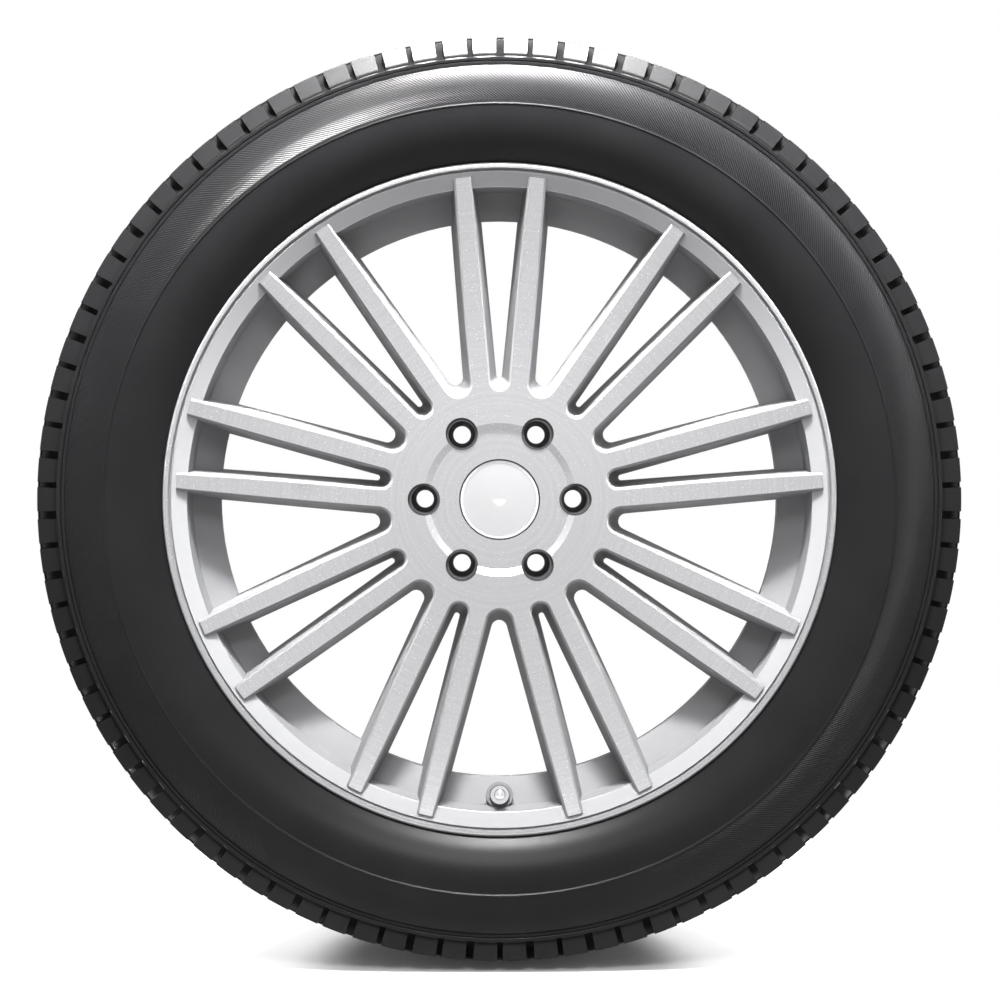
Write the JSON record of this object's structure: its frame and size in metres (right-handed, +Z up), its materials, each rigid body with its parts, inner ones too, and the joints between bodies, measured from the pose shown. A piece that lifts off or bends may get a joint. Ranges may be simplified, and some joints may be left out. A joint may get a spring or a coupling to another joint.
{
  "type": "car wheel with tyre",
  "caption": "Multi-spoke cast alloy road wheel with a low-profile tyre, black lug seats, a snap-in centre cap and a clamp-in tyre valve.",
  "frame": {"origin": "centre of the hub bore on the hub mounting face", "axes": "+Y along the spin axis, towards the vehicle; +Z up, with the valve at the bottom; -Y is the outer face"},
  "size_m": [0.8334, 0.302, 0.8332],
  "materials": {
    "tyre_rubber": "matte",
    "silver_alloy": "satin",
    "lug_seat_black": "satin",
    "cap_plastic": "satin",
    "cap_plate": "satin",
    "spring_wire": "satin",
    "valve_brass": "satin",
    "valve_rubber": "matte",
    "valve_chrome": "polished"
  },
  "bodies": {
    "wheel": {"tyre": "tyre_rubber", "alloy_wheel": "silver_alloy", "centre_cap_body": "cap_plastic", "centre_cap_disc": "cap_plate", "centre_cap_spring_ring": "spring_wire", "valve_stem": "valve_brass", "valve_grommet": "valve_rubber", "valve_washer": "valve_chrome", "valve_nut": "valve_chrome", "valve_core_body": "valve_brass", "valve_core_spring": "spring_wire", "lug_seat_insert_1": "lug_seat_black", "lug_seat_insert_2": "lug_seat_black", "lug_seat_insert_3": "lug_seat_black", "lug_seat_insert_4": "lug_seat_black", "lug_seat_insert_5": "lug_seat_black", "lug_seat_insert_6": "lug_seat_black"},
    "valve_cap_seal": {"valve_cap_seal": "valve_rubber"},
    "valve_cap": {"valve_cap": "valve_chrome"},
    "valve_core_pin": {"valve_core_pin": "valve_brass"}
  },
  "joints": [
    {"name": "valve_cap_lift", "type": "slide", "parent": "wheel", "child": "valve_cap_seal", "axis": [0, -0.9903, 0.1392], "range_m": [0, 0.00516]},
    {"name": "valve_cap_turn", "type": "hinge", "parent": "valve_cap_seal", "child": "valve_cap", "pos_m": [0, -0.076, -0.2635], "axis": [0, -0.9903, 0.1392], "range_deg": [0, 2340]},
    {"name": "valve_core_press", "type": "slide", "parent": "wheel", "child": "valve_core_pin", "axis": [0, 0.9903, -0.1392], "range_m": [0, 0.0015], "stiffness_N_per_m": 400, "deforming": ["valve_core_spring"]}
  ],
  "couplings": [
    {"joint": "valve_cap_turn", "follows": "valve_cap_lift", "rad_per_m": 7913.3}
  ]
}
